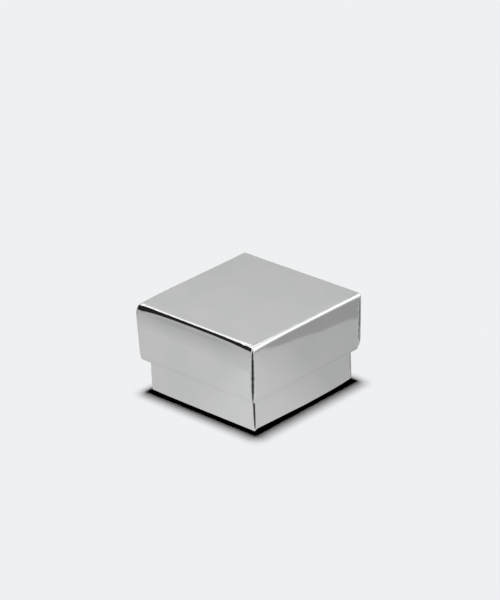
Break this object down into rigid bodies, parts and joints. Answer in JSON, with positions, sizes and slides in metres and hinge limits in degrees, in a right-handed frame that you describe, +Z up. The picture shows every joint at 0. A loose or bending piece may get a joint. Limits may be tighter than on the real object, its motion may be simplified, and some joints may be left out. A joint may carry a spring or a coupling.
{
  "type": "lidded gift box",
  "caption": "Small square rigid gift box covered in mirror foil paper, with a telescoping lift-off lid over a narrower tray and a slit foam insert inside.",
  "frame": {"origin": "centre of the tray's underside, on the surface that the box stands on", "axes": "+Z up, the way the lid lifts off; the four walls face -Y, +X, +Y and -X"},
  "size_m": [0.05, 0.05, 0.03],
  "materials": {
    "foil_paper": "polished",
    "chipboard": "matte",
    "stay_tape": "matte",
    "foam": "matte",
    "flock": "matte"
  },
  "bodies": {
    "tray": {"tray_board": "chipboard", "tray_foil_wrap": "foil_paper", "tray_corner_stay_front_right": "stay_tape", "tray_corner_stay_back_right": "stay_tape", "tray_corner_stay_back_left": "stay_tape", "tray_corner_stay_front_left": "stay_tape", "insert_foam": "foam", "insert_cover": "flock"},
    "lid": {"lid_board": "chipboard", "lid_foil_wrap": "foil_paper", "lid_corner_stay_front_right": "stay_tape", "lid_corner_stay_back_right": "stay_tape", "lid_corner_stay_back_left": "stay_tape", "lid_corner_stay_front_left": "stay_tape"}
  },
  "joints": [
    {"name": "lid_lift", "type": "slide", "parent": "tray", "child": "lid", "axis": [0, 0, 1], "range_m": [0, 0.04]}
  ]
}
